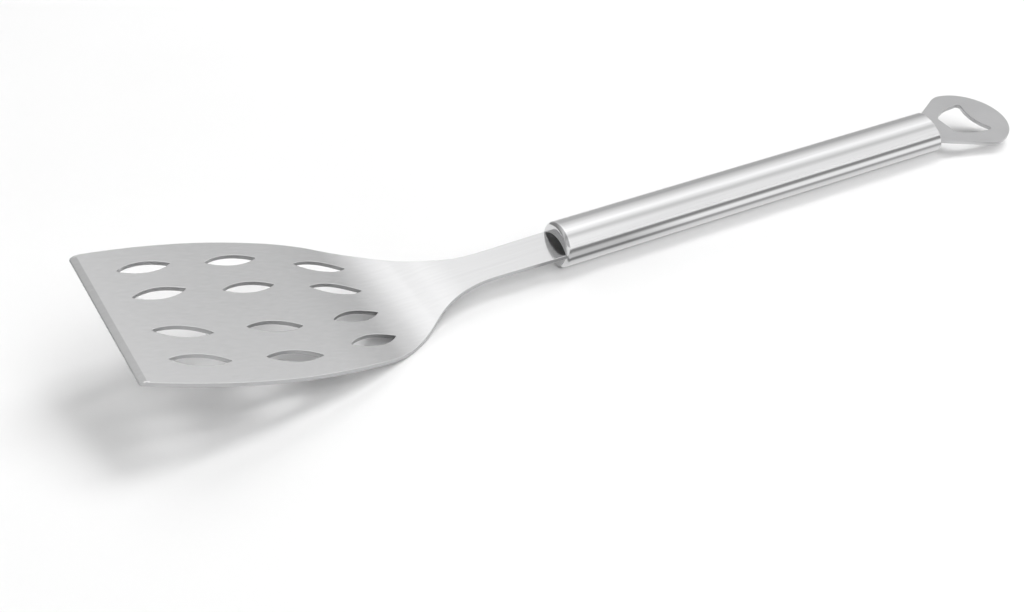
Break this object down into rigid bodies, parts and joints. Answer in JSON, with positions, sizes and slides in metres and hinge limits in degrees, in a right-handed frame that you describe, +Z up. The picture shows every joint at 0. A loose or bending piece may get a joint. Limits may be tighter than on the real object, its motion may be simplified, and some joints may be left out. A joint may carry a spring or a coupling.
{
  "type": "grill spatula",
  "caption": "All-metal grill spatula: a slotted, bevelled stamped blade whose flat neck runs into a round tube handle with a flat hanging loop at its end.",
  "frame": {"origin": "centre of the object's footprint, on the surface that it lies on", "axes": "+X along the handle from the blade to the hanging loop, +Y across the blade, +Z up from the table; the tool leans about the handle's axis, as it comes to rest, with the heel's -Y edge on the table"},
  "size_m": [0.4534, 0.0828, 0.0486],
  "materials": {
    "blade_steel": "satin, finely brushed along the tool",
    "tube_steel": "polished, with fine drawing lines along the tube",
    "loop_steel": "matt, bead blasted",
    "weld_steel": "as welded"
  },
  "bodies": {
    "root": {"blade": "blade_steel", "handle_tube": "tube_steel", "end_cap": "tube_steel", "hanging_loop": "loop_steel", "tang_welds": "weld_steel", "loop_weld": "weld_steel"}
  },
  "joints": []
}
